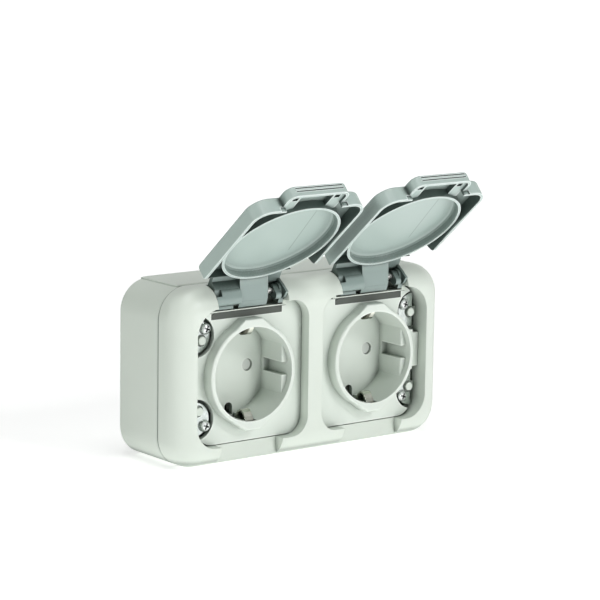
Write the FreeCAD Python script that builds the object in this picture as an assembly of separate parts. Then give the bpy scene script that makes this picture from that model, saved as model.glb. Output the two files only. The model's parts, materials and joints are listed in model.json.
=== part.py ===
import FreeCAD, Part
import math
import os

# Surface socket box for two round earthed outlets, each under a hinged splash lid.
# Row frame: X to the right, -Y out of the wall, +Z up, origin on the wall face midway between the two sockets.

os.makedirs("parts", exist_ok=True)

# Driving dimensions, millimetres
pitch = 63.4
half_width = 69.5
half_height = 37.0
corner_radius = 13.0
front_radius = 10.0
front_y = -42.0
seam_y = -27.8
seam_gap = 0.6
base_wall = 2.4
back_wall = 2.5
cover_wall = 2.4

window_inner_x = 3.7
window_outer_x = 59.7
window_half_height = 28.6
window_inner_radius = 8.0
window_top_radius = 11.0
window_foot_radius = 10.0
window_wall = 1.8
window_wall_back = -33.0

plate_y = -36.7
plate_thickness = 2.0
platform_half_x = 56.5
platform_half_z = 28.3
platform_corner = 8.0
flange_half_x = 62.5
flange_half_z = 32.4
flange_front = -33.0
flange_back = -31.4

collar_radius = 21.2
cup_radius = 19.5
cup_floor_y = -24.5
floor_thickness = 2.0
floor_web = 1.0
shutter_room = 13.7
guide_face_x = 16.5
guide_half_z = 10.4
guide_slot_half = 2.7
guide_set_back = 3.1
guide_web = 1.6
pin_offset = 9.5
pin_hole_radius = 2.6
earth_channel_half = 2.6
earth_channel_depth = 21.9
earth_slot_half = 2.0

screw_x = 51.8
screw_z = 20.0
peg_spots = {(-1, 1): (53.6, 15.2), (-1, -1): (54.6, 13.8), (1, 1): (55.5, 16.2), (1, -1): (55.5, 16.2)}
peg_radius = 1.8
link_z = 16.2
pocket_x = 56.5
pocket_z = 17.1
pocket_radius = 8.5
ear_front = -34.7
ear_back = -33.0
ear_edge_x = 56.6
screw_plate_front = -35.4
screw_plate_radius = 7.1

hinge_y = -35.9
hinge_z = 32.7
barrel_radius = 3.9
pin_radius = 1.5
pin_clearance = 0.06
notch_half = 17.7
neck_half = 17.35
notch_back = -29.9
notch_floor = 26.7
ledge_bottom = 26.2
ledge_front = -37.2
lip_y = -32.1
lip_z = 35.4
open_angle = 130.6

lid_half = 27.3
lid_front_z = -27.5
lid_hinge_z = 22.8
lid_corner = 7.6
lid_face_y = -43.8
lid_floor_y = -42.0
dish_floor_y = -42.6
ring_rim_y = -38.3
skirt_rim_y = -37.05
skirt_wall = 1.3
ring_outer = 25.5
ring_inner = 24.4
tab_half = 15.0
tab_front_z = -34.6
tab_rim_y = -38.9
tab_corner = 4.0
bar_start = -15.8
bar_end = -7.8
knuckle_end = -5.0
middle_end = 9.0
lug_start = 12.4
foot_start = 15.0
end_wall_start = 16.2

scoop_half = 15.4
scoop_top_y = -36.8
scoop_foot_y = -37.5
scoop_foot_z = -34.3

shutter_front = -23.4
shutter_back = -21.2
block_front = -20.5
block_back = -5.0
block_half_x = 15.6
block_half_z = 19.0
block_ear_x = 19.0
block_ear_z = 17.0
block_tongue_x = 24.5


def vec(x, y, z):
    return FreeCAD.Vector(x, y, z)


def box(x0, x1, y0, y1, z0, z1):
    return Part.makeBox(x1 - x0, y1 - y0, z1 - z0, vec(x0, y0, z0))


def rod_y(x, z, radius, y0, y1):
    return Part.makeCylinder(radius, y1 - y0, vec(x, y0, z), vec(0, 1, 0))


def rod_x(x0, x1, y, z, radius):
    return Part.makeCylinder(radius, x1 - x0, vec(x0, y, z), vec(1, 0, 0))


def rod_z(x, y, radius, z0, z1):
    return Part.makeCylinder(radius, z1 - z0, vec(x, y, z0), vec(0, 0, 1))


def prism_y(points, y0, y1):
    # Extrudes an outline of (x, z) points from y0 to y1.
    loop = [vec(x, y0, z) for x, z in points]
    face = Part.Face(Part.makePolygon(loop + loop[:1]))
    return face.extrude(vec(0, y1 - y0, 0))


def prism_x(points, x0, x1):
    # Extrudes a section of (y, z) points from x0 to x1.
    loop = [vec(x0, y, z) for y, z in points]
    face = Part.Face(Part.makePolygon(loop + loop[:1]))
    return face.extrude(vec(x1 - x0, 0, 0))


def skin_x(curve, back, x0, x1):
    # Section whose front side is one smooth curve through (y, z) points, extruded from x0 to x1.
    spline = Part.BSplineCurve()
    spline.interpolate([vec(x0, y, z) for y, z in curve])
    edges = [spline.toShape()]
    loop = [curve[-1]] + back + [curve[0]]
    for (y0, z0), (y1, z1) in zip(loop, loop[1:]):
        edges.append(Part.makeLine(vec(x0, y0, z0), vec(x0, y1, z1)))
    face = Part.Face(Part.Wire(edges))
    return face.extrude(vec(x1 - x0, 0, 0))


def turned(points, x, z):
    # Turns a half section of (radius, y) points about a line along Y through (x, z).
    loop = [vec(radius, y, 0) for radius, y in points]
    face = Part.Face(Part.makePolygon(loop + loop[:1]))
    body = face.revolve(vec(0, 0, 0), vec(0, 1, 0), 360)
    body.translate(vec(x, 0, z))
    return body


def rounded_plate(x0, x1, z0, z1, radius, y0, y1):
    # Rectangle with rounded corners in the XZ plane, extruded along Y.
    body = box(x0, x1, y0, y1, z0, z1)
    corners = []
    for edge in body.Edges:
        direction = edge.tangentAt(edge.FirstParameter)
        if abs(direction.y) > 0.9:
            corners.append(edge)
    return body.makeFillet(radius, corners)


def fuse_all(shapes):
    body = shapes[0]
    if len(shapes) > 1:
        body = body.fuse(shapes[1:])
    return body.removeSplitter()


def moved_x(shape, distance):
    copy = shape.copy()
    copy.translate(vec(distance, 0, 0))
    return copy


def mirrored_x(shape):
    return shape.mirror(vec(0, 0, 0), vec(1, 0, 0))


def mirrored_z(shape):
    return shape.mirror(vec(0, 0, 0), vec(0, 0, 1))


def four_corners(shape):
    pair = [shape, mirrored_x(shape)]
    return pair + [mirrored_z(item) for item in pair]


def edges_where(shape, test):
    chosen = []
    for edge in shape.Edges:
        if test(edge.BoundBox):
            chosen.append(edge)
    return chosen


def save(name, shape):
    if isinstance(shape, list):
        shape = Part.makeCompound(shape)
    solids = shape.Solids
    print(name, "solids", len(solids), "valid", shape.isValid(), "volume", round(shape.Volume, 1))
    shape.exportStep("parts/" + name + ".step")


# Rear box

wall_hole_x = 60.0
wall_hole_z = 24.0
wall_hole_radius = 2.4
post_radius = 3.8
pilot_radius = 1.45
entry_x = 31.7
entry_y = -14.0
entry_radius = 8.0
entry_top = -33.2
pad_half_x = 59.3
pad_drop = 0.6


def base_box():
    top = half_height - pad_drop
    outer = rounded_plate(-half_width, half_width, -half_height, top, corner_radius, seam_y, 0)
    rear = edges_where(outer, lambda b: b.YMin > -0.01)
    outer = outer.makeFillet(1.5, rear)
    front = edges_where(outer, lambda b: b.YMax < seam_y + 0.01)
    outer = outer.makeChamfer(0.5, front)
    pad = box(-pad_half_x, pad_half_x, seam_y + 1.2, -0.8, half_height - 6, half_height)
    rims = edges_where(pad, lambda b: b.ZMin > half_height - 0.01)
    pad = pad.makeChamfer(0.45, rims)
    inner = rounded_plate(-half_width + base_wall, half_width - base_wall, -half_height + base_wall,
                          top - base_wall, corner_radius - base_wall, seam_y - 1, -back_wall)
    body = outer.fuse(pad).cut(inner)
    posts = []
    holes = []
    for x in (-screw_x, screw_x):
        for z in (-screw_z, screw_z):
            posts.append(rod_y(x, z, post_radius, ear_back, -back_wall + 0.2))
            side = math.copysign(1, x)
            rib = box(min(x, side * 68), max(x, side * 68), -26.0, -back_wall + 0.2, z - 0.8, z + 0.8)
            posts.append(rib)
            holes.append(rod_y(x, z, pilot_radius, ear_back - 1, -9.0))
    for side, spots in ((-1, (-45.0, -18.0, 18.0, 45.0)), (1, (-55.5, -8.0, 8.0, 55.5))):
        for x in spots:
            z0, z1 = sorted((side * 29.0, side * 35.2))
            posts.append(box(x - 0.9, x + 0.9, seam_y, -back_wall + 0.2, z0, z1))
            z0, z1 = sorted((side * 29.0, side * 33.2))
            posts.append(box(x - 0.9, x + 0.9, flange_back, seam_y + 0.1, z0, z1))
    for x in (-wall_hole_x, wall_hole_x):
        for z in (-wall_hole_z, wall_hole_z):
            posts.append(rod_y(x, z, 5.0, -4.0, -back_wall + 0.2))
            holes.append(rod_y(x, z, wall_hole_radius, -5.0, 1.0))
    for x in (-entry_x, entry_x):
        posts.append(rod_z(x, entry_y, entry_radius + 2.4, -half_height + 0.6, entry_top))
        holes.append(rod_z(x, entry_y, entry_radius, -half_height - 1, entry_top + 1))
        holes.append(rod_z(x, entry_y, entry_radius + 1.6, -half_height - 1, -half_height + 1.2))
    body = body.fuse(posts)
    shell = rounded_plate(-half_width, half_width, -half_height, half_height, corner_radius, -34.0, 0)
    body = body.common(shell)
    return body.cut(holes).removeSplitter()


def cover_gasket():
    y0 = seam_y - seam_gap
    outer = rounded_plate(-half_width + 0.6, half_width - 0.6, -half_height + 0.6, half_height - 1.1,
                          corner_radius - 0.6, y0, seam_y)
    inner = rounded_plate(-half_width + 2.2, half_width - 2.2, -half_height + 2.2, half_height - 2.6,
                          corner_radius - 2.2, y0 - 1, seam_y + 1)
    return outer.cut(inner)


def grommet(x):
    # Stepped membrane gland in the lower wall, section turned about its own axis.
    z_out = -half_height
    z_in = entry_top
    points = [(0, z_out + 0.8), (3.6, z_out + 0.8), (4.4, z_out), (entry_radius + 1.6, z_out),
              (entry_radius + 1.6, z_out + 1.2), (entry_radius, z_out + 1.2), (entry_radius, z_in),
              (entry_radius + 1.0, z_in), (entry_radius + 0.4, z_in + 1.4), (5.6, z_in + 2.6), (0, z_in + 2.6)]
    loop = [vec(r, 0, z) for r, z in points]
    body = Part.Face(Part.makePolygon(loop + loop[:1])).revolve(vec(0, 0, 0), vec(0, 0, 1), 360)
    core_points = [(0, z_out + 2.0), (4.2, z_out + 2.0), (5.6, z_out + 2.6), (6.2, z_out + 3.6),
                   (6.2, z_in + 0.6), (4.6, z_in + 1.5), (0, z_in + 1.5)]
    loop = [vec(r, 0, z) for r, z in core_points]
    core = Part.Face(Part.makePolygon(loop + loop[:1])).revolve(vec(0, 0, 0), vec(0, 0, 1), 360)
    body = body.cut(core)
    body.translate(vec(x, entry_y, 0))
    return body


# Front cover with the two windows, hinge notches and finger scoops

cheek = 1.8


def cover_outer():
    body = rounded_plate(-half_width, half_width, -half_height, half_height, corner_radius,
                         front_y, seam_y - seam_gap)
    front = edges_where(body, lambda b: b.YMax < front_y + 0.01)
    return body.makeFillet(front_radius, front)


def cover_inner():
    body = rounded_plate(-half_width + cover_wall, half_width - cover_wall, -half_height + cover_wall,
                         half_height - cover_wall, corner_radius - cover_wall,
                         front_y + cover_wall, seam_y + 5)
    front = edges_where(body, lambda b: b.YMax < front_y + cover_wall + 0.01)
    return body.makeFillet(front_radius - cover_wall, front)


def window_shape(side, grow, y0, y1):
    # Opening with tight corners beside the divider and wide ones at the outer end.
    x0, x1 = sorted((side * (window_inner_x - grow), side * (window_outer_x + grow)))
    reach = window_half_height + grow
    body = box(x0, x1, y0, y1, -reach, reach)
    inner = window_inner_x - grow
    outer = window_outer_x + grow
    for radius, near, level in ((window_inner_radius, inner, reach), (window_inner_radius, inner, -reach),
                                (window_top_radius, outer, reach), (window_foot_radius, outer, -reach)):
        corners = edges_where(body, lambda b: abs(abs(b.Center.x) - near) < 0.01 and b.YLength > 0.5
                              and abs(b.Center.z - level) < 0.01)
        body = body.makeFillet(radius + grow, corners)
    return body


def window_cutter(side):
    return window_shape(side, 0.0, front_y - 2, seam_y + 2)


def window_tube(side):
    return window_shape(side, window_wall, front_y + 0.5, window_wall_back)


def hinge_notch(centre):
    low = box(centre - notch_half, centre + notch_half, front_y - 2, notch_back, notch_floor, lip_z)
    high = box(centre - notch_half, centre + notch_half, front_y - 2, lip_y, lip_z - 0.1, half_height + 2)
    return low.fuse(high)


def hinge_house(centre):
    return box(centre - notch_half - cheek, centre + notch_half + cheek, ledge_front, notch_back + 1.5,
               ledge_bottom, half_height)


def scoop(centre):
    points = [(scoop_top_y, -window_half_height + 1.0), (scoop_top_y, -window_half_height),
              (scoop_foot_y, scoop_foot_z), (scoop_foot_y, -half_height - 1), (front_y - 2, -half_height - 1),
              (front_y - 2, -window_half_height + 1.0)]
    return prism_x(points, centre - scoop_half, centre + scoop_half)


def in_corner(shape, corner):
    side, top = corner
    if side < 0:
        shape = mirrored_x(shape)
    if top < 0:
        shape = mirrored_z(shape)
    return shape


def corner_ear(corner):
    # Round pad behind the pocket, a low link to the window wall and a locating peg.
    peg_x, peg_z = peg_spots[corner]
    pad = rod_y(pocket_x, pocket_z, screw_plate_radius - 0.3, ear_front, ear_back)
    pad = pad.common(box(0, ear_edge_x, ear_front, ear_back, 0, half_height))
    seat = rod_y(screw_x, screw_z, 2.3, ear_front, ear_back)
    link = box(ear_edge_x - 1.0, window_outer_x + 1.2, ear_back - 0.9, ear_back, link_z - 1.7, link_z + 1.7)
    peg = rod_y(peg_x, peg_z, peg_radius, plate_y + 0.1, ear_front + 0.1)
    peg = peg.makeChamfer(0.2, edges_where(peg, lambda b: b.YMax < plate_y + 0.2))
    return in_corner(fuse_all([pad, seat, link, peg]), corner)


def screw_plates():
    # Stamped plate on each ear, with a wide hole round the peg.
    plates = []
    for corner, (peg_x, peg_z) in peg_spots.items():
        disc = rod_y(pocket_x, pocket_z, screw_plate_radius, screw_plate_front, ear_front)
        disc = disc.common(box(0, ear_edge_x + 0.3, screw_plate_front, ear_front, 0, half_height))
        seat = rod_y(screw_x, screw_z, 2.35, screw_plate_front, ear_front)
        holes = [rod_y(peg_x, peg_z, peg_radius + 0.65, screw_plate_front - 1, ear_front + 1),
                 rod_y(screw_x, screw_z, 1.6, screw_plate_front - 1, ear_front + 1)]
        plates.append(in_corner(disc.fuse(seat).cut(holes).removeSplitter(), corner))
    return plates


def cover_frame():
    outer = cover_outer()
    inner = cover_inner()
    keep = cover_outer()
    parts = []
    for side in (-1, 1):
        parts.append(window_tube(side))
        centre = side * pitch / 2
        parts.append(hinge_house(centre))
        parts.append(box(centre - notch_half - cheek, centre + notch_half + cheek, front_y, ledge_front + 0.1,
                         window_half_height, half_height))
        parts.append(box(centre - scoop_half - 2, centre + scoop_half + 2, front_y, scoop_top_y + 2.2,
                         -half_height, -window_half_height))
    shell = outer.cut(inner)
    body = shell.fuse([item.common(keep) for item in parts])
    cutters = []
    for side in (-1, 1):
        centre = side * pitch / 2
        window = window_cutter(side)
        bridge = box(centre - notch_half - cheek, centre + notch_half + cheek, ledge_front, seam_y,
                     ledge_bottom, half_height)
        cutters.append(window.cut(bridge))
        cutters.append(hinge_notch(centre))
        cutters.append(scoop(centre))
    body = body.cut(cutters)
    behind_divider = box(-12, 12, plate_y - 0.3, -20, -window_half_height - 0.1, window_half_height + 0.1)
    body = body.cut(behind_divider)
    body = body.fuse([corner_ear(corner) for corner in peg_spots])
    holes = []
    for item in four_corners(rod_y(screw_x, screw_z, 1.7, ear_front - 1, ear_back + 1)):
        holes.append(item)
    for side in (-1, 1):
        centre = side * pitch / 2
        holes.append(rod_x(centre - notch_half - 1.4, centre + notch_half + 1.4, hinge_y, hinge_z, pin_radius))
    body = body.cut(holes)
    return body.removeSplitter()


def pan_screw(x, z, head_y, shank_end):
    # Pan head with a cross recess, plain shank.
    shank_radius = pilot_radius - 0.02
    body = turned([(0, head_y - 2.0), (1.0, head_y - 1.94), (1.7, head_y - 1.7), (2.2, head_y - 1.2),
                   (2.4, head_y - 0.5), (2.4, head_y), (shank_radius, head_y), (shank_radius, shank_end),
                   (0, shank_end)], x, z)
    cross = []
    for turn in (20, 110):
        arm = box(-1.35, 1.35, head_y - 2.6, head_y - 0.9, -0.36, 0.36)
        arm.rotate(vec(0, 0, 0), vec(0, 1, 0), turn)
        arm.translate(vec(x, 0, z))
        cross.append(arm)
    return body.cut(cross).removeSplitter()


def cover_screws():
    screws = []
    for x in (-screw_x, screw_x):
        for z in (-screw_z, screw_z):
            screws.append(pan_screw(x, z, screw_plate_front, -12.0))
    return screws


# Socket plate: one moulding with both cups

def collar_outline(centre, radius):
    # Circle with a flat lobe above and below, over the earth clips.
    lobe_top = [(-9.3, 18.9), (-4.4, 22.85), (4.4, 22.85), (9.3, 18.9)]
    lobe_bottom = [(11.4, -17.8), (3.4, -23.1), (-3.4, -23.1), (-11.4, -17.8)]
    scale = radius / collar_radius
    shapes = []
    for lobe in (lobe_top, lobe_bottom):
        shapes.append([(centre + x * scale, z * scale) for x, z in lobe])
    return shapes


def collar(centre):
    back = plate_y + 0.5
    tube = rod_y(centre, 0, collar_radius, front_y, back)
    lobes = [prism_y(outline, front_y, back) for outline in collar_outline(centre, collar_radius)]
    body = fuse_all([tube] + lobes)
    rim = edges_where(body, lambda b: b.YMax < front_y + 0.01)
    return body.makeFillet(0.7, rim)


def cup_hollow(centre):
    # Round recess with a whole rim; two guide blocks stand at each side behind it, with a slot between them.
    hollow = rod_y(centre, 0, cup_radius, front_y - 1, cup_floor_y)
    block_front_y = front_y + guide_set_back
    blocks = []
    for side in (-1, 1):
        near = centre + side * guide_face_x
        far = centre + side * 21.0
        for top in (-1, 1):
            z0, z1 = sorted((top * guide_slot_half, top * guide_half_z))
            points = [(near, cup_floor_y + 1), (far, cup_floor_y + 1), (far, block_front_y),
                      (near + side * 0.3, block_front_y), (near, block_front_y + 0.4)]
            loop = [vec(x, y, z0) for x, y in points]
            face = Part.Face(Part.makePolygon(loop + loop[:1]))
            blocks.append(face.extrude(vec(0, 0, z1 - z0)))
    webs = []
    for side in (-1, 1):
        x0, x1 = sorted((centre + side * guide_face_x, centre + side * 21.0))
        webs.append(box(x0, x1, cup_floor_y - guide_web, cup_floor_y + 1, -guide_slot_half - 0.2,
                        guide_slot_half + 0.2))
    return hollow.cut(blocks + webs)


def earth_channel(centre, top):
    # Channel in the cup wall for the earth clip, and the slot in the floor below it.
    z0, z1 = sorted((top * 17.0, top * earth_channel_depth))
    run = box(centre - earth_channel_half, centre + earth_channel_half, front_y + 0.9, cup_floor_y, z0, z1)
    z0, z1 = sorted((top * 16.8, top * 20.0))
    through = cup_floor_y + floor_thickness + 1
    slot = box(centre - earth_slot_half, centre + earth_slot_half, cup_floor_y - 0.5, through, z0, z1)
    end = rod_y(centre, top * 16.8, earth_slot_half, cup_floor_y - 0.5, through)
    return run.fuse([slot, end])


def block_screw_spots(side):
    # Two ears beside the divider and one tongue at the outer side.
    centre = side * pitch / 2
    inner = centre - side * block_ear_x
    return [(inner, -block_ear_z), (inner, block_ear_z), (centre + side * block_tongue_x, 0.0)]


def pocket_cutter():
    # Round pocket over the ear, with room for the screw's head and for the post behind it.
    pocket = rod_y(pocket_x, pocket_z, pocket_radius, plate_y - 1, flange_back + 1)
    head_room = rod_y(screw_x, screw_z, 2.8, plate_y - 1, flange_back + 1)
    post_room = rod_y(screw_x, screw_z, post_radius + 0.4, plate_y + plate_thickness, flange_back + 1)
    return pocket.fuse([head_room, post_room])


def socket_plate():
    platform = rounded_plate(-platform_half_x, platform_half_x, -platform_half_z, platform_half_z,
                             platform_corner, plate_y, flange_back)
    flange = rounded_plate(-flange_half_x, flange_half_x, -flange_half_z, flange_half_z, 9.0,
                           flange_front, flange_back)
    tabs = []
    for side in (-1, 1):
        x0, x1 = sorted((side * 54.0, side * (window_outer_x - 0.15)))
        tabs.append(box(x0, x1, plate_y, flange_back, -7.3, 7.3))
    solid = fuse_all([platform, flange] + tabs)
    pocket = rounded_plate(-platform_half_x + 1.8, platform_half_x - 1.8, -platform_half_z + 1.8,
                           platform_half_z - 1.8, platform_corner - 1.8, plate_y + plate_thickness, flange_back + 1)
    solid = solid.cut(pocket)
    adds = []
    cuts = []
    for side in (-1, 1):
        centre = side * pitch / 2
        adds.append(collar(centre))
        adds.append(rod_y(centre, 0, collar_radius, plate_y + 0.3, cup_floor_y + floor_thickness))
        for top in (-1, 1):
            z0, z1 = sorted((top * 16.0, top * 20.7))
            adds.append(box(centre - 4.6, centre + 4.6, plate_y + 0.3, cup_floor_y + floor_thickness, z0, z1))
        cuts.append(cup_hollow(centre))
        cuts.append(earth_channel(centre, 1))
        cuts.append(earth_channel(centre, -1))
        cuts.append(rod_y(centre, 0, shutter_room, cup_floor_y + floor_web, cup_floor_y + floor_thickness + 1))
        for pin in (-1, 1):
            cuts.append(rod_y(centre + pin * pin_offset, 0, pin_hole_radius, cup_floor_y - 1,
                              cup_floor_y + floor_thickness + 1))
        for x, z in block_screw_spots(side):
            adds.append(rod_y(x, z, 3.0, plate_y + plate_thickness - 0.2, block_front))
            cuts.append(rod_y(x, z, 1.25, -27.0, block_front + 1))
        cuts.append(box(centre - notch_half - cheek - 0.3, centre + notch_half + cheek + 0.3, plate_y - 1,
                        flange_back + 1, ledge_bottom - 0.3, flange_half_z + 2))
        cuts.append(box(centre - notch_half - 0.1, centre + notch_half + 0.1, plate_y - 1, plate_y + 0.5,
                        23.3, ledge_bottom))
    body = solid.fuse(adds)
    body = body.cut(cuts + four_corners(pocket_cutter()))
    stubs = []
    for side in (-1, 1):
        stubs.append(rod_y(side * pitch / 2, 0, 1.5, cup_floor_y + floor_web - 0.2, shutter_back - 0.1))
    return body.fuse(stubs).removeSplitter()


def hinge_seal(centre):
    # Soft strip under the hinge, let into the plate; its upper left corner is bevelled.
    x0 = centre - notch_half
    x1 = centre + notch_half
    z0 = 23.3
    z1 = ledge_bottom - 0.3
    points = [(x0, z0), (x1, z0), (x1, z1), (x0 + 1.6, z1), (x0, z1 - 0.8)]
    return prism_y(points, plate_y - 0.05, plate_y + 0.5)


# Lids, drawn shut and turned up about the hinge

def lid_outline(inset):
    # Outline in the XZ plane about the socket's centre line, as a face with rounded corners.
    half = lid_half - inset
    front = lid_front_z + inset
    tab = tab_half - inset
    tab_front = tab_front_z + inset
    hinge_side = lid_hinge_z - inset
    corner = lid_corner - inset
    near = 4.2 - inset * 0.8
    snub = tab_corner - inset
    pan = rounded_plate(-half, half, front, hinge_side, corner, 0, 1)
    near_box = rounded_plate(-half, half, 0, hinge_side, near, 0, 1)
    pull = rounded_plate(-tab, tab, tab_front, 0, snub, 0, 1)
    pan = pan.fuse([near_box, box(-half, half, 0, 1, front + corner, hinge_side - near), pull])
    return pan.removeSplitter()


def lid_slab(inset, y0, y1):
    slab = lid_outline(inset)
    stretch = FreeCAD.Matrix()
    stretch.scale(vec(1, y1 - y0, 1))
    slab = slab.transformGeometry(stretch)
    slab.translate(vec(0, y0, 0))
    return slab


def lid_ring():
    # Splash ring: thin rim, drafted wall and a soft fillet into the dished floor.
    points = [(ring_outer, ring_rim_y), (ring_outer + 0.25, lid_floor_y - 0.2), (ring_outer + 0.25, -43.2),
              (0, -43.2), (0, dish_floor_y), (19.5, dish_floor_y), (21.7, dish_floor_y + 0.08),
              (23.0, dish_floor_y + 0.3), (23.8, dish_floor_y + 0.8), (24.15, dish_floor_y + 1.6),
              (24.3, dish_floor_y + 2.6), (ring_inner, ring_rim_y)]
    loop = [vec(r, y, 0) for r, y in points]
    face = Part.Face(Part.makePolygon(loop + loop[:1]))
    return face.revolve(vec(0, 0, 0), vec(0, 1, 0), 360)


def neck_section(x0, x1):
    # Curved skin from the lid's face back to the hinge barrel, in the shut position.
    section = []
    for u, w in ((-1.44, -4.05), (3.4, -6.1), (6.2, -7.2), (8.6, -7.7), (11.5, -7.9), (14.0, -7.9),
                 (14.0, -6.3), (11.0, -6.3), (8.6, -6.0), (5.8, -5.1), (2.6, -3.7), (-0.6, -2.2)):
        section.append((hinge_y + w, hinge_z - u))
    return prism_x(section, x0, x1)


def open_turn(shape):
    copy = shape.copy()
    copy.rotate(vec(0, hinge_y, hinge_z), vec(1, 0, 0), -open_angle)
    return copy


def knuckles():
    # Hinge side in the raised position: rounded knuckle, flat middle, lug, foot and end wall.
    heel = [(-36.8, 28.4), (-35.9, 30.0), (-34.3, 34.0), (-35.2, 38.2)]
    rounded = skin_x([(-35.8, 39.2), (-37.1, 37.6), (-38.3, 35.9), (-39.5, 34.0), (-40.2, 32.1), (-40.3, 30.8),
                      (-39.9, 29.7), (-39.2, 29.1)], [(-37.2, 29.05)] + heel[1:], -neck_half, knuckle_end)
    bar = prism_x([(-38.0, 28.7), (-37.9, 27.3), (-37.2, 27.6), (-36.4, 28.6), (-35.9, 30.2), (-37.0, 29.5),
                   (-37.0, 28.7)], bar_start, bar_end)
    flat = skin_x([(-38.4, 42.9), (-38.65, 38.0), (-38.75, 32.0), (-38.3, 29.0), (-37.6, 27.3)],
                  heel + [(-36.9, 41.2)], knuckle_end - 0.1, middle_end)
    barrel = rod_x(-neck_half, middle_end, hinge_y, hinge_z, barrel_radius)
    barrel = barrel.cut(box(knuckle_end, middle_end + 1, hinge_y - 5, -38.7, hinge_z - 5, hinge_z + 5))
    lug = prism_x([(-34.57, 30.82), (-37.23, 34.58), (-39.28, 32.39), (-37.32, 29.61)], lug_start, foot_start + 0.1)
    lug_eye = rod_x(lug_start, foot_start + 0.1, hinge_y, hinge_z, 2.3)
    lug_nose = rod_x(lug_start, foot_start + 0.1, -38.3, 31.0, 1.7)
    foot = prism_x([(-38.5, 31.0), (-38.2, 29.0), (-37.6, 27.35), (-36.8, 28.4), (-35.9, 30.5)],
                   foot_start, neck_half)
    end_wall = prism_x([(-33.9, 39.0), (-35.7, 37.1), (-41.6, 32.5), (-39.9, 30.0), (-37.4, 29.0), (-34.0, 31.0),
                        (-33.0, 35.5)], end_wall_start, neck_half)
    end_eye = rod_x(foot_start, neck_half, hinge_y, hinge_z, 2.9)
    return [rounded, bar, flat, barrel, lug, lug_eye, lug_nose, foot, end_wall, end_eye]


def tab_block():
    # Rib that fills the tab's corner beside the splash ring, hollow toward the tab's edge.
    rib = box(8.0, tab_half - 1.0, lid_floor_y - 0.2, -39.9, -32.3, -22.0)
    rib = rib.cut(rod_y(0, 0, ring_inner + 0.4, lid_floor_y - 1, -39.0))
    return rib.cut(box(9.0, 11.6, -41.6, -39.0, -33.0, -29.6))


def lid():
    shell = lid_slab(0.0, lid_face_y, skirt_rim_y)
    face_edges = edges_where(shell, lambda b: b.YMax < lid_face_y + 0.01)
    shell = shell.makeFillet(0.9, face_edges)
    shell = shell.cut(lid_slab(skirt_wall, lid_floor_y, skirt_rim_y + 1))
    shell = shell.cut(box(-16.4, 16.4, tab_rim_y, skirt_rim_y + 1, tab_front_z - 1, lid_front_z + 0.4))
    heel_radius = 4.5
    heel_z = lid_hinge_z - heel_radius
    heel = box(-lid_half - 1, lid_half + 1, skirt_rim_y - heel_radius, skirt_rim_y + 1, heel_z, lid_hinge_z + 1)
    heel = heel.cut(rod_x(-lid_half - 2, lid_half + 2, skirt_rim_y - heel_radius, heel_z, heel_radius))
    shell = shell.cut(heel)
    short_end = prism_x([(lid_floor_y, lid_hinge_z + 1), (lid_floor_y, 19.2), (-40.9, 18.6), (-38.1, 17.6),
                         (-37.0, 16.6), (-36.0, 15.6), (-36.0, lid_hinge_z + 1)], neck_half, lid_half + 1)
    shell = shell.cut(short_end)
    grooves = []
    for depth in (1.0, 2.4):
        y = lid_face_y + depth
        grooves.append(box(-11.5, 11.5, y, y + 0.5, tab_front_z - 1, tab_front_z + 0.35))
    shell = shell.cut(grooves)
    body = shell.fuse([neck_section(-neck_half, neck_half), tab_block(), mirrored_x(tab_block())])
    body = body.cut(rod_y(0, 0, ring_inner, dish_floor_y, skirt_rim_y + 1))
    body = fuse_all([body, lid_ring()])
    body = body.cut(rod_x(-lid_half, lid_half, hinge_y, hinge_z, barrel_radius - 0.4))
    body = open_turn(body).fuse(knuckles())
    pocket = box(-neck_half - 1, -14.6, hinge_y - 5, hinge_y - 2.2, hinge_z + 0.4, hinge_z + 3.0)
    bore = rod_x(-neck_half - 1, neck_half + 1, hinge_y, hinge_z, pin_radius + pin_clearance)
    return body.cut([pocket, bore]).removeSplitter()


def hinge_pin(centre):
    pin = rod_x(centre - notch_half - 1.3, centre + notch_half + 1.3, hinge_y, hinge_z, pin_radius)
    return pin.makeChamfer(0.3, edges_where(pin, lambda b: b.XLength < 0.01))


# Working parts behind each cup

def shutter(centre):
    # Rocking shutter: two round flags on one hub.
    body = fuse_all([rod_y(0, 0, 4.2, shutter_front, shutter_back),
                     rod_y(-pin_offset, 0, 3.5, shutter_front, shutter_back),
                     rod_y(pin_offset, 0, 3.5, shutter_front, shutter_back),
                     box(-pin_offset, pin_offset, shutter_front, shutter_back, -2.2, 2.2)])
    body = body.cut(rod_y(0, 0, 3.4, shutter_front - 1, shutter_front + 0.6))
    body = body.cut(rod_y(0, 0, 1.56, shutter_front - 1, shutter_back + 1))
    return moved_x(body, centre)


def shutter_spring(centre):
    # Flat coil about the stub, in the shutter's recess.
    y = shutter_front + 0.08
    coil = rod_y(centre, 0, 2.8, y, y + 0.44).cut(rod_y(centre, 0, 2.3, y - 1, y + 1))
    return coil


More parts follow.
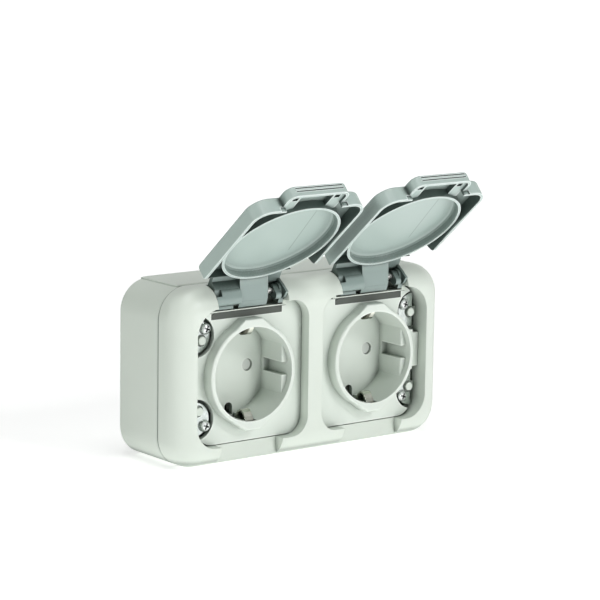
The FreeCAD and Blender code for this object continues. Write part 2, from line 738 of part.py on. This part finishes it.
def contact_block(side):
    # Tub moulding, open to the front for the contacts, wires enter from behind.
    centre = side * pitch / 2
    body = rounded_plate(centre - block_half_x, centre + block_half_x, -block_half_z, block_half_z, 3.0,
                         block_front, block_back)
    ears = []
    cuts = []
    for x, z in block_screw_spots(side):
        near = centre + math.copysign(13.0, x - centre)
        x0, x1 = sorted((near, x))
        ears.append(box(x0, x1, block_front, block_front + 2.5, z - 2.0, z + 2.0))
        ears.append(rod_y(x, z, 3.3, block_front, block_front + 2.5))
        cuts.append(rod_y(x, z, 1.6, block_front - 1, block_front + 4))
    body = body.fuse(ears)
    front = block_front - 1
    for pin in (-1, 1):
        x = centre + pin * pin_offset
        cuts.append(rod_y(x, 0, 3.7, front, -6.6))
        cuts.append(box(x - 4.2, x + 4.2, front, -6.6, -17.4, -7.4))
        cuts.append(box(x - 1.2, x + 1.2, front, -6.6, -8.0, -2.0))
        cuts.append(rod_z(x, -12.0, 2.6, -block_half_z - 1, -15.0))
        cuts.append(rod_y(x, -13.0, 2.4, -8.0, block_back + 1))
    cuts.append(box(centre - 2.4, centre + 2.4, front, -18.4, -block_half_z - 1, block_half_z + 1))
    cuts.append(box(centre - 4.2, centre + 4.2, front, -6.6, 7.4, 17.4))
    cuts.append(rod_z(centre, -12.0, 2.6, 15.0, block_half_z + 1))
    cuts.append(rod_y(centre, 13.0, 2.4, -8.0, block_back + 1))
    return body.cut(cuts).removeSplitter()


def terminal_box(x, z, up):
    # Folded box terminal with a wire hole through it and a tapped wall for its screw.
    body = box(x - 3.8, x + 3.8, -16.0, -8.0, z - 3.6, z + 3.6)
    body = body.cut(box(x - 2.9, x + 2.9, -17.0, -7.0, z - 2.6, z + 2.6))
    z0, z1 = sorted((z, z + up * 6))
    return body.cut(rod_z(x, -12.0, 1.7, z0, z1))


def pin_contact(centre, pin):
    # Slit sleeve for the pin, a web and a folded box terminal, cut from one strip.
    x = pin * pin_offset
    sleeve = rod_y(x, 0, 3.1, -20.2, -7.2).cut(rod_y(x, 0, 2.45, -21.0, -6.0))
    sleeve = sleeve.cut(box(x - 0.5, x + 0.5, -21.0, -6.0, 1.5, 4.0))
    web = box(x - 0.5, x + 0.5, -16.0, -8.0, -9.6, -2.7)
    body = fuse_all([sleeve, web, terminal_box(x, -13.0, -1)])
    return moved_x(body, centre)


clip_half = 2.0


def clip_strip(top):
    # Bent earth clip in the YZ plane: up outside the cup, in through its wall and over a spring hump.
    line = [(-19.6, 21.9), (-20.4, 22.3), (-30.7, 22.3), (-31.5, 21.9), (-32.1, 20.9), (-32.6, 19.2),
            (-33.2, 17.6), (-34.1, 16.4), (-35.2, 15.8), (-36.4, 16.0), (-37.4, 16.8), (-38.3, 18.2),
            (-38.9, 19.6), (-39.3, 20.9)]
    half = 0.4
    upper = []
    lower = []
    for index, (y, z) in enumerate(line):
        before = line[max(index - 1, 0)]
        after = line[min(index + 1, len(line) - 1)]
        dy = after[0] - before[0]
        dz = after[1] - before[1]
        size = math.hypot(dy, dz)
        upper.append((y - dz / size * half, z + dy / size * half))
        lower.append((y + dz / size * half, z - dy / size * half))
    section = upper + lower[::-1]
    section = [(y, top * z) for y, z in section]
    return prism_x(section, -clip_half, clip_half)


def earth_strap(centre):
    # Clip above, clip below, bar between them and a box terminal.
    bar = box(-clip_half, clip_half, -20.0, -19.2, -22.2, 22.2)
    web = box(-1.2, 1.2, -19.4, -13.0, 9.4, 10.2)
    body = fuse_all([clip_strip(1), clip_strip(-1), bar, web, terminal_box(0, 13.0, 1)])
    return moved_x(body, centre)


def terminal_screw(x, z_head, up):
    # Slotted clamping screw along Z.
    tip = z_head - up * 6.4
    z0, z1 = sorted((z_head, z_head - up * 1.6))
    t0, t1 = sorted((z_head - up * 1.5, tip))
    head = rod_z(x, -12.0, 2.3, z0, z1)
    shank = rod_z(x, -12.0, 1.66, t0, t1)
    s0, s1 = sorted((z_head + up * 0.5, z_head - up * 0.7))
    slot = box(x - 2.5, x + 2.5, -12.35, -11.65, s0, s1)
    return head.fuse(shank).cut(slot)


def terminal_screws(centre):
    screws = []
    for pin in (-1, 1):
        screws.append(moved_x(terminal_screw(pin * pin_offset, -19.3, -1), centre))
    screws.append(moved_x(terminal_screw(0, 19.3, 1), centre))
    return screws


def block_screws():
    screws = []
    head_y = block_front + 2.5
    for side in (-1, 1):
        for x, z in block_screw_spots(side):
            head = rod_y(x, z, 2.8, head_y, head_y + 1.8)
            shank = rod_y(x, z, 1.23, -26.0, head_y + 0.1)
            slot = box(x - 3, x + 3, head_y + 1.1, head_y + 3, z - 0.4, z + 0.4)
            screws.append(head.fuse(shank).cut(slot))
    return screws


save("base_box", base_box())
save("cover_gasket", cover_gasket())
save("cover_frame", cover_frame())
save("screw_plates", screw_plates())
save("cover_screws", cover_screws())
save("socket_plate", socket_plate())
save("block_screws", block_screws())
for side_name, side in (("left", -1), ("right", 1)):
    middle = side * pitch / 2
    save(side_name + "_cable_grommet", grommet(side * entry_x))
    save(side_name + "_hinge_seal", hinge_seal(middle))
    save(side_name + "_hinge_pin", hinge_pin(middle))
    save(side_name + "_lid", moved_x(lid(), middle))
    save(side_name + "_shutter", shutter(middle))
    save(side_name + "_shutter_spring", shutter_spring(middle))
    save(side_name + "_contact_block", contact_block(side))
    save(side_name + "_line_contact", pin_contact(middle, -1))
    save(side_name + "_neutral_contact", pin_contact(middle, 1))
    save(side_name + "_earth_strap", earth_strap(middle))
    save(side_name + "_terminal_screws", terminal_screws(middle))
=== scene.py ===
import bpy, bmesh, json
from mathutils import Matrix, Vector

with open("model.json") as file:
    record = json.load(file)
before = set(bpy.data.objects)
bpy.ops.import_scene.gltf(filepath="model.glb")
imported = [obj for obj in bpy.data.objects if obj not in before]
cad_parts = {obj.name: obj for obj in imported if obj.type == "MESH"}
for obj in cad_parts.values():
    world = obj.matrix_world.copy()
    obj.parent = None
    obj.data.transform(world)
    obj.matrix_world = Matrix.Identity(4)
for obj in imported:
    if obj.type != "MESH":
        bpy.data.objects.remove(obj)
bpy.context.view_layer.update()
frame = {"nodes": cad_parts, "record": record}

nodes = frame["nodes"]
mm = 0.001
bumpDepth = 0.1 * mm

# Shader helpers

socketKinds = {"colour": "NodeSocketColor", "value": "NodeSocketFloat", "vector": "NodeSocketVector"}


def addNode(tree, kind, **settings):
    node = tree.nodes.new(kind)
    for key, value in settings.items():
        setattr(node, key, value)
    return node


def feed(tree, socket, value):
    # another node's output is linked, a plain value is written in
    if isinstance(value, bpy.types.NodeSocket):
        tree.links.new(value, socket)
    else:
        socket.default_value = value


def feedAll(tree, node, values):
    for label, value in values.items():
        feed(tree, node.inputs[label], value)


def newMaterial(name):
    material = bpy.data.materials.new(name)
    material.use_nodes = True
    tree = material.node_tree
    tree.nodes.clear()
    out = addNode(tree, "ShaderNodeOutputMaterial")
    shader = addNode(tree, "ShaderNodeBsdfPrincipled")
    tree.links.new(shader.outputs["BSDF"], out.inputs["Surface"])
    return material, tree, shader


def newGroup(name, inputs, outputs):
    group = bpy.data.node_groups.new(name, "ShaderNodeTree")
    for way, sockets in (("INPUT", inputs), ("OUTPUT", outputs)):
        for label, kind in sockets.items():
            group.interface.new_socket(label, in_out=way, socket_type=socketKinds[kind])
    given = addNode(group, "NodeGroupInput").outputs
    result = addNode(group, "NodeGroupOutput").inputs
    return group, given, result


def mathNode(tree, operation, first, second=None, clamp=False):
    node = addNode(tree, "ShaderNodeMath", operation=operation, use_clamp=clamp)
    feed(tree, node.inputs[0], first)
    if second is not None:
        feed(tree, node.inputs[1], second)
    return node.outputs[0]


def mapRange(tree, value, ends, results=(0.0, 1.0), smooth=False):
    node = addNode(tree, "ShaderNodeMapRange", interpolation_type="SMOOTHSTEP" if smooth else "LINEAR")
    feedAll(tree, node, {"Value": value, "From Min": ends[0], "From Max": ends[1],
                         "To Min": results[0], "To Max": results[1]})
    return node.outputs["Result"]


def noiseNode(tree, vector, scale, detail):
    node = addNode(tree, "ShaderNodeTexNoise")
    feedAll(tree, node, {"Vector": vector, "Scale": scale, "Detail": detail})
    return node.outputs["Fac"]


def mixColours(tree, mask, first, second):
    node = addNode(tree, "ShaderNodeMix", data_type="RGBA")
    feed(tree, node.inputs[0], mask)
    for socket, colour in ((node.inputs[6], first), (node.inputs[7], second)):
        feed(tree, socket, (*colour, 1) if isinstance(colour, tuple) else colour)
    return node.outputs[2]


def dotWith(tree, source, direction, offset=0.0):
    # distance along a direction, from an offset in millimetres
    node = addNode(tree, "ShaderNodeVectorMath", operation="DOT_PRODUCT")
    feed(tree, node.inputs[0], source)
    node.inputs[1].default_value = direction
    return mathNode(tree, "SUBTRACT", node.outputs["Value"], offset * mm)


def risingMask(tree, value, low, high):
    # nought below the low mark and one above the high mark, in millimetres
    return mapRange(tree, value, (low * mm, high * mm), smooth=True)


def bandMask(tree, value, centre, half, soft):
    # one inside the band, falling to nothing over the soft width, in millimetres
    size = mathNode(tree, "ABSOLUTE", mathNode(tree, "SUBTRACT", value, centre * mm))
    return mapRange(tree, size, (half * mm, (half + soft) * mm), (1.0, 0.0), smooth=True)


def softNormal(tree, height, radius, strength):
    # edges rounded by the radius in millimetres, under a fine bump
    soft = addNode(tree, "ShaderNodeBevel", samples=6)
    soft.inputs["Radius"].default_value = radius * mm
    bump = addNode(tree, "ShaderNodeBump")
    feedAll(tree, bump, {"Strength": strength, "Distance": bumpDepth, "Height": height,
                         "Normal": soft.outputs["Normal"]})
    return bump.outputs["Normal"]


# Shared effects

skinNoise = dict(cloudScale=38.0, cloudDetail=3.0, grainDetail=2.0)
metalSkin = dict(detail=4.0, edge=0.12)
tableFade = dict(low=-36.6, high=-34.0)
# open lid: up runs from the hinge to the tab, inward is the way its inner face looks
creaseLine = dict(normal=(0.9946, -0.0788, 0.0676), offsets=(-11.336, 51.72), half=0.09, soft=0.10,
                  up=(0.0, -0.7593, 0.6508), upOffset=48.54, middle=34.3, run=13.5, runSoft=2.0,
                  inward=(0.0, -0.6508, -0.7593), inwardOffset=-1.465, depth=-6.7, depthHalf=0.15,
                  depthSoft=0.1)


def mouldedGroup(noise):
    # fine moulded skin: cloudy tone, satin speckle and a very fine grain
    group, given, result = newGroup(
        "mouldedSkin",
        {"Vector": "vector", "Tone Dark": "colour", "Tone Light": "colour",
         "Rough Low": "value", "Rough High": "value", "Grain Scale": "value"},
        {"Color": "colour", "Roughness": "value", "Height": "value"})
    cloud = noiseNode(group, given["Vector"], noise["cloudScale"], noise["cloudDetail"])
    grain = noiseNode(group, given["Vector"], given["Grain Scale"], noise["grainDetail"])
    feed(group, result["Color"], mixColours(group, cloud, given["Tone Dark"], given["Tone Light"]))
    feed(group, result["Roughness"], mapRange(group, cloud, (0.0, 1.0), (given["Rough Low"], given["Rough High"])))
    feed(group, result["Height"], grain)
    return group


def rimHighlightGroup():
    # painted highlight: mask of the thin rims and outer edges, which are painted lighter
    group, given, result = newGroup("thinEdges", {"Reach": "value", "Amount": "value"}, {"Mask": "value"})
    inner = addNode(group, "ShaderNodeAmbientOcclusion", samples=8, inside=True, only_local=True)
    feed(group, inner.inputs["Distance"], given["Reach"])
    near = mathNode(group, "SUBTRACT", 1.0, inner.outputs["AO"])
    feed(group, result["Mask"], mathNode(group, "MULTIPLY", near, given["Amount"], clamp=True))
    return group


def creviceShadeGroup(fade):
    # painted shade: mask of narrow gaps and recesses, faded out where the object meets the table
    group, given, result = newGroup(
        "creviceShadeMask", {"Vector": "vector", "Reach": "value", "Open": "value", "Shut": "value"}, {"Mask": "value"})
    outer = addNode(group, "ShaderNodeAmbientOcclusion", samples=8)
    feed(group, outer.inputs["Distance"], given["Reach"])
    gapShade = mapRange(group, outer.outputs["AO"], (given["Open"], given["Shut"]))
    clear = risingMask(group, dotWith(group, given["Vector"], (0, 0, 1)), fade["low"], fade["high"])
    feed(group, result["Mask"], mathNode(group, "MULTIPLY", gapShade, clear))
    return group


def creaseShadeGroup(creaseShade):
    # painted shade of a fine slanting crease on the dished floor of each lid
    group, given, result = newGroup("floorCreaseShade", {"Vector": "vector"}, {"Mask": "value"})
    across = []
    for offset in creaseShade["offsets"]:
        away = dotWith(group, given["Vector"], creaseShade["normal"], offset)
        across.append(bandMask(group, away, 0.0, creaseShade["half"], creaseShade["soft"]))
    mask = mathNode(group, "MAXIMUM", *across)
    along = dotWith(group, given["Vector"], creaseShade["up"], creaseShade["upOffset"])
    deep = dotWith(group, given["Vector"], creaseShade["inward"], creaseShade["inwardOffset"])
    for part in (bandMask(group, along, creaseShade["middle"], creaseShade["run"], creaseShade["runSoft"]),
                 bandMask(group, deep, creaseShade["depth"], creaseShade["depthHalf"], creaseShade["depthSoft"])):
        mask = mathNode(group, "MULTIPLY", mask, part)
    feed(group, result["Mask"], mask)
    return group


mouldedSkin = mouldedGroup(skinNoise)
thinEdges = rimHighlightGroup()
creviceShadeMask = creviceShadeGroup(tableFade)
floorCreaseShade = creaseShadeGroup(creaseLine)


def paintCreviceShade(tree, place, colour, creviceShade):
    shadeNode = addNode(tree, "ShaderNodeGroup", node_tree=creviceShadeMask)
    feedAll(tree, shadeNode, {"Vector": place["Object"], "Reach": creviceShade["reach"] * mm,
                         "Open": creviceShade["open"], "Shut": creviceShade["shut"]})
    mask = shadeNode.outputs["Mask"]
    if "wallShadeGain" in creviceShade:
        # painted shade: the walls inside a lid get more of it than its floor
        facing = mathNode(tree, "ABSOLUTE", dotWith(tree, place["Normal"], creaseLine["inward"]))
        gain = mapRange(tree, facing, creviceShade["wallTurn"], (creviceShade["wallShadeGain"], 1.0), smooth=True)
        mask = mathNode(tree, "MULTIPLY", mask, gain, clamp=True)
    return mixColours(tree, mask, colour, creviceShade["tone"])


def paintRimHighlights(tree, place, colour, rim, hingeShade):
    edges = addNode(tree, "ShaderNodeGroup", node_tree=thinEdges)
    feedAll(tree, edges, {"Reach": rim["reach"] * mm, "Amount": rim["amount"]})
    mask = edges.outputs["Mask"]
    if hingeShade:
        # painted shade at the end of a lid beside the hinge, where the painted rim highlights stop
        climb = dotWith(tree, place["Object"], creaseLine["up"], creaseLine["upOffset"])
        clear = risingMask(tree, climb, *hingeShade["climb"])
        mask = mathNode(tree, "MULTIPLY", mask, clear)
        under = mapRange(tree, clear, (0.0, 1.0), (hingeShade["amount"], 0.0))
        colour = mixColours(tree, under, colour, hingeShade["tone"])
    return mixColours(tree, mask, colour, rim["tone"])


def mouldedPlastic(name, look):
    material, tree, shader = newMaterial(name)
    place = addNode(tree, "ShaderNodeTexCoord").outputs
    skin = addNode(tree, "ShaderNodeGroup", node_tree=mouldedSkin)
    feedAll(tree, skin, {"Vector": place["Object"], "Tone Dark": (*look["dark"], 1),
                         "Tone Light": (*look["light"], 1), "Rough Low": look["rough"][0],
                         "Rough High": look["rough"][1], "Grain Scale": look["grain"]})
    colour = skin.outputs["Color"]
    # painted shade of the crease on the lid floor
    if "creaseShade" in look:
        line = addNode(tree, "ShaderNodeGroup", node_tree=floorCreaseShade)
        feed(tree, line.inputs["Vector"], place["Object"])
        colour = mixColours(tree, line.outputs["Mask"], colour, look["creaseShade"])
    # painted highlight on the thin rims and outer edges
    if "rim" in look:
        colour = paintRimHighlights(tree, place, colour, look["rim"], look.get("hingeShade"))
    if "seam" in look:
        # parting line between the box and its cover
        seam = look["seam"]
        deep = dotWith(tree, place["Object"], (0, 1, 0))
        parting = bandMask(tree, deep, seam["middle"], seam["half"], seam["soft"])
        colour = mixColours(tree, parting, colour, seam["tone"])
    # painted shade in gaps and recesses
    if "creviceShade" in look:
        colour = paintCreviceShade(tree, place, colour, look["creviceShade"])
    feedAll(tree, shader, {"Base Color": colour, "Roughness": skin.outputs["Roughness"], "IOR": 1.5,
                           "Specular IOR Level": look["gloss"],
                           "Normal": softNormal(tree, skin.outputs["Height"], look["edge"], look["bump"])})
    return material


def clipShadeMask(tree, place, clipShade):
    # painted shade on the left part of each upper clip, measured from the middle of its own outlet
    apart = addNode(tree, "ShaderNodeSeparateXYZ")
    feed(tree, apart.inputs[0], place["Object"])
    own = mathNode(tree, "ADD", apart.outputs["X"], 2 * clipShade["pitch"] * mm)
    own = mathNode(tree, "MODULO", own, clipShade["pitch"] * mm)
    middle = clipShade["pitch"] / 2
    bright = risingMask(tree, own, middle + clipShade["across"][0], middle + clipShade["across"][1])
    upper = risingMask(tree, apart.outputs["Z"], *clipShade["above"])
    return mathNode(tree, "MULTIPLY", mathNode(tree, "SUBTRACT", 1.0, bright), upper)


def platedMetal(name, look):
    material, tree, shader = newMaterial(name)
    place = addNode(tree, "ShaderNodeTexCoord").outputs
    grain = noiseNode(tree, place["Object"], look["scale"], metalSkin["detail"])
    colour = mixColours(tree, grain, look["dark"], look["light"])
    if "behind" in look:
        # painted shade: faces that turn away from the front are painted dark
        shape = addNode(tree, "ShaderNodeNewGeometry")
        away = dotWith(tree, shape.outputs["Normal"], (0, 1, 0))
        turned = mapRange(tree, away, look["behind"]["turn"], smooth=True)
        colour = mixColours(tree, turned, colour, look["behind"]["tone"])
    if "clipShade" in look:
        colour = mixColours(tree, clipShadeMask(tree, place, look["clipShade"]), colour, look["clipShade"]["tone"])
    feedAll(tree, shader, {"Base Color": paintCreviceShade(tree, place, colour, look["creviceShade"]), "Metallic": 1.0,
                           "Roughness": mapRange(tree, grain, (0.0, 1.0), look["rough"]),
                           "Normal": softNormal(tree, grain, metalSkin["edge"], look["bump"])})
    return material


# Finishes: tones are linear; edge, seam, climb, pitch, across, above and every reach are in millimetres

looks = {
    "housing": dict(dark=(0.675, 0.732, 0.665), light=(0.720, 0.772, 0.705), rough=(0.34, 0.44),
                    grain=1800.0, bump=0.10, edge=0.35, gloss=0.45,
                    seam=dict(tone=(0.13, 0.16, 0.135), middle=-28.1, half=0.40, soft=0.16),
                    creviceShade=dict(tone=(0.15, 0.19, 0.155), reach=6.0, open=0.72, shut=0.15)),
    "plate": dict(dark=(0.685, 0.742, 0.683), light=(0.730, 0.782, 0.723), rough=(0.36, 0.46),
                  grain=1500.0, bump=0.08, edge=0.22, gloss=0.45,
                  rim=dict(tone=(0.86, 0.90, 0.85), reach=0.8, amount=1.6),
                  creviceShade=dict(tone=(0.13, 0.165, 0.135), reach=7.0, open=0.70, shut=0.15)),
    "lid": dict(dark=(0.395, 0.483, 0.450), light=(0.435, 0.523, 0.490), rough=(0.27, 0.29),
                grain=1800.0, bump=0.08, edge=0.30, gloss=0.5, creaseShade=(0.20, 0.26, 0.24),
                rim=dict(tone=(0.84, 0.91, 0.89), reach=0.55, amount=2.2),
                hingeShade=dict(tone=(0.16, 0.215, 0.205), amount=0.6, climb=(4.0, 8.0)),
                creviceShade=dict(tone=(0.06, 0.085, 0.075), reach=12.0, open=0.86, shut=0.28,
                             wallShadeGain=2.3, wallTurn=(0.35, 0.75))),
    "shutter": dict(dark=(0.66, 0.70, 0.66), light=(0.74, 0.78, 0.73), rough=(0.45, 0.55),
                    grain=1200.0, bump=0.05, edge=0.15, gloss=0.4,
                    creviceShade=dict(tone=(0.12, 0.14, 0.12), reach=0.9, open=0.80, shut=0.45)),
    "block": dict(dark=(0.60, 0.60, 0.55), light=(0.66, 0.66, 0.60), rough=(0.5, 0.6),
                  grain=900.0, bump=0.2, edge=0.2, gloss=0.4),
    "hingeRubber": dict(dark=(0.078, 0.088, 0.078), light=(0.105, 0.115, 0.103), rough=(0.55, 0.7),
                        grain=900.0, bump=0.25, edge=0.15, gloss=0.35),
    "gasketRubber": dict(dark=(0.02, 0.022, 0.02), light=(0.03, 0.032, 0.03), rough=(0.7, 0.8),
                         grain=900.0, bump=0.25, edge=0.1, gloss=0.3),
    "grommetRubber": dict(dark=(0.16, 0.175, 0.17), light=(0.19, 0.205, 0.2), rough=(0.6, 0.72),
                          grain=900.0, bump=0.25, edge=0.2, gloss=0.35),
}
# painted shade in the recesses of the metal parts and of the clips
metalCreviceShade = dict(tone=(0.03, 0.035, 0.033), reach=2.0, open=0.78, shut=0.38)
clipCreviceShade = dict(tone=(0.035, 0.038, 0.028), reach=5.0, open=0.66, shut=0.36)
metals = {
    "zinc": dict(dark=(0.60, 0.63, 0.62), light=(0.80, 0.82, 0.81), rough=(0.22, 0.36),
                 scale=700.0, bump=0.25, creviceShade=metalCreviceShade),
    "stampedZinc": dict(dark=(0.36, 0.40, 0.38), light=(0.66, 0.70, 0.68), rough=(0.12, 0.24),
                        scale=700.0, bump=0.25, creviceShade=metalCreviceShade),
    "nickel": dict(dark=(0.58, 0.59, 0.50), light=(0.84, 0.85, 0.77), rough=(0.12, 0.22),
                   scale=500.0, bump=0.12, creviceShade=clipCreviceShade,
                   behind=dict(tone=(0.10, 0.105, 0.08), turn=(-0.35, 0.25)),
                   clipShade=dict(tone=(0.13, 0.13, 0.10), pitch=63.4, across=(-0.9, 0.5), above=(-1.0, 1.0))),
    "steelPin": dict(dark=(0.62, 0.62, 0.60), light=(0.76, 0.76, 0.74), rough=(0.2, 0.3),
                     scale=600.0, bump=0.1, creviceShade=metalCreviceShade),
    "brass": dict(dark=(0.66, 0.50, 0.20), light=(0.80, 0.64, 0.30), rough=(0.25, 0.4),
                  scale=500.0, bump=0.15, creviceShade=metalCreviceShade),
}
finishes = {name: mouldedPlastic(name, look) for name, look in looks.items()}
finishes.update({name: platedMetal(name, look) for name, look in metals.items()})
print("materials made:", len(finishes))

finishOfSlot = {
    "housing_plastic": "housing", "plate_plastic": "plate", "lid_plastic": "lid",
    "seal_rubber": "gasketRubber", "hinge_rubber": "hingeRubber", "grommet_rubber": "grommetRubber",
    "zinc_steel": "zinc", "pin_steel": "steelPin", "spring_steel": "steelPin",
    "nickel_strip": "nickel", "contact_brass": "brass", "shutter_plastic": "shutter",
    "block_plastic": "block",
}
finishOfNode = {"screw_plates": "stampedZinc"}
for part in frame["record"]["subparts"]:
    piece = nodes[part["node"]]
    finish = finishOfNode.get(part["node"], finishOfSlot[part["material_slot"]])
    piece.data.materials.clear()
    piece.data.materials.append(finishes[finish])
print("frame dressed")

# Floor, surround, lamps and camera

floorLook = dict(height=-0.0371, size=6.0, white=(0.90, 0.90, 0.90, 1), rough=0.9,
                 near=0.15, far=0.9, liftNear=0.55, liftFar=1.0,
                 bounceBack=0.06, bounceFront=-0.12, bounceBehind=0.20, bounce=0.84)
surround = dict(fill=0.10, fillTint=(0.93, 1.0, 0.95, 1), bandDirection=(0.35, -0.35, 0.87),
                low=(0.30, 0.31, 0.30, 1), high=(0.55, 0.57, 0.56, 1), bandTint=(0.97, 1.0, 0.98),
                bands=((0.36, 0.06), (0.47, 0.08), (0.56, 0.95), (0.70, 1.0), (0.80, 0.22)))
lamps = {
    "keyHigh": dict(place=(0.30, -0.98, 0.68), aim=(0, -0.04, 0.02), size=(0.30, 0.30), power=4.35),
    "keyLow": dict(place=(0.40, -1.10, 0.02), aim=(0, -0.04, 0.05), size=(0.5, 0.08), power=1.3),
    "sideWash": dict(place=(-1.1, 0.22, 0.28), aim=(-0.07, -0.01, 0), size=(0.5, 0.6), power=2.1,
                     tint=(0.93, 1.0, 0.95)),
    "topSoft": dict(place=(-0.10, -0.20, 1.0), aim=(0, 0, 0.03), size=(0.5, 0.5), power=3.2),
    "edgeStreak": dict(place=(-0.526, -0.466, 0.933), aim=(0, -0.06, 0.06), size=(0.08, 0.08), power=0.9),
}
photoView = dict(place=(-0.6527, -0.8742, 0.2155), right=(0.7924, -0.6099, 0.0151),
                 up=(0.0949, 0.1478, 0.9844), forward=(0.6026, 0.7786, -0.1750), lens=156.7)


def makeFloor(look):
    form = bmesh.new()
    bmesh.ops.create_grid(form, x_segments=1, y_segments=1, size=look["size"] / 2)
    bmesh.ops.translate(form, verts=form.verts, vec=(0, 0, look["height"]))
    mesh = bpy.data.meshes.new("floor")
    form.to_mesh(mesh)
    form.free()
    floor = bpy.data.objects.new("floor", mesh)
    bpy.context.collection.objects.link(floor)
    material, tree, shader = newMaterial("paperFloor")
    feedAll(tree, shader, {"Base Color": look["white"], "Roughness": look["rough"], "Specular IOR Level": 0.0})
    place = addNode(tree, "ShaderNodeTexCoord").outputs
    # white lift seen by the camera only, weaker near the object so its soft shadow stays
    away = addNode(tree, "ShaderNodeVectorMath", operation="LENGTH")
    feed(tree, away.inputs[0], place["Object"])
    lift = mapRange(tree, away.outputs["Value"], (look["near"], look["far"]), (look["liftNear"], look["liftFar"]))
    # painted bounce light: the floor glows for all rays but the camera's, strong in front of the object and weak
    # behind it
    apart = addNode(tree, "ShaderNodeSeparateXYZ")
    feed(tree, apart.inputs[0], place["Object"])
    thrown = mapRange(tree, apart.outputs["Y"], (look["bounceBack"], look["bounceFront"]),
                      (look["bounceBehind"], look["bounce"]), smooth=True)
    path = addNode(tree, "ShaderNodeLightPath")
    strength = addNode(tree, "ShaderNodeMix", data_type="FLOAT")
    for socket, value in ((0, path.outputs["Is Camera Ray"]), (2, thrown), (3, lift)):
        feed(tree, strength.inputs[socket], value)
    glow = addNode(tree, "ShaderNodeEmission")
    feedAll(tree, glow, {"Color": (1, 1, 1, 1), "Strength": strength.outputs[0]})
    both = addNode(tree, "ShaderNodeAddShader")
    tree.links.new(shader.outputs["BSDF"], both.inputs[0])
    tree.links.new(glow.outputs[0], both.inputs[1])
    out = next(node for node in tree.nodes if node.type == "OUTPUT_MATERIAL")
    tree.links.new(both.outputs[0], out.inputs["Surface"])
    mesh.materials.append(material)


def makeSurround(look):
    world = bpy.data.worlds.new("softbox")
    bpy.context.scene.world = world
    world.use_nodes = True
    tree = world.node_tree
    tree.nodes.clear()
    out = addNode(tree, "ShaderNodeOutputWorld")
    seen = addNode(tree, "ShaderNodeBackground")
    feedAll(tree, seen, {"Color": (1, 1, 1, 1)})
    fill = addNode(tree, "ShaderNodeBackground")
    feedAll(tree, fill, {"Color": look["fillTint"], "Strength": look["fill"]})
    # banded surround for mirror-like reflections
    place = addNode(tree, "ShaderNodeTexCoord").outputs
    height = dotWith(tree, place["Generated"], look["bandDirection"])
    bands = addNode(tree, "ShaderNodeValToRGB")
    stops = bands.color_ramp.elements
    stops[0].position, stops[0].color = 0.0, look["low"]
    stops[1].position, stops[1].color = 1.0, look["high"]
    for position, level in look["bands"]:
        stops.new(position).color = (*(level * tint for tint in look["bandTint"]), 1)
    feed(tree, bands.inputs["Fac"], mapRange(tree, height, (-1.0, 1.0)))
    shine = addNode(tree, "ShaderNodeBackground")
    feed(tree, shine.inputs["Color"], bands.outputs["Color"])
    path = addNode(tree, "ShaderNodeLightPath")
    glossy = addNode(tree, "ShaderNodeMixShader")
    everything = addNode(tree, "ShaderNodeMixShader")
    for mixer, chooser, first, second in ((glossy, "Is Glossy Ray", fill, shine),
                                          (everything, "Is Camera Ray", glossy, seen)):
        tree.links.new(path.outputs[chooser], mixer.inputs[0])
        tree.links.new(first.outputs[0], mixer.inputs[1])
        tree.links.new(second.outputs[0], mixer.inputs[2])
    tree.links.new(everything.outputs[0], out.inputs["Surface"])


def makeLamp(name, place, aim, size, power, tint=(1, 1, 1)):
    lamp = bpy.data.lights.new(name, "AREA")
    lamp.shape = "RECTANGLE"
    lamp.size, lamp.size_y = size
    lamp.energy = power
    lamp.color = tint
    holder = bpy.data.objects.new(name, lamp)
    holder.location = place
    holder.rotation_euler = (Vector(aim) - Vector(place)).to_track_quat("-Z", "Y").to_euler()
    bpy.context.collection.objects.link(holder)


def makeCamera(view):
    lens = bpy.data.cameras.new("photoView")
    lens.lens = view["lens"]
    lens.sensor_width = 36.0
    lens.clip_start = 0.05
    camera = bpy.data.objects.new("photoView", lens)
    turn = Matrix((view["right"], view["up"], [-v for v in view["forward"]])).transposed()
    camera.matrix_world = Matrix.Translation(view["place"]) @ turn.to_4x4()
    bpy.context.collection.objects.link(camera)
    bpy.context.scene.camera = camera


makeFloor(floorLook)
makeSurround(surround)
for name, lamp in lamps.items():
    makeLamp(name, **lamp)
makeCamera(photoView)
bpy.context.scene.view_settings.view_transform = "Standard"
print("studio ready")
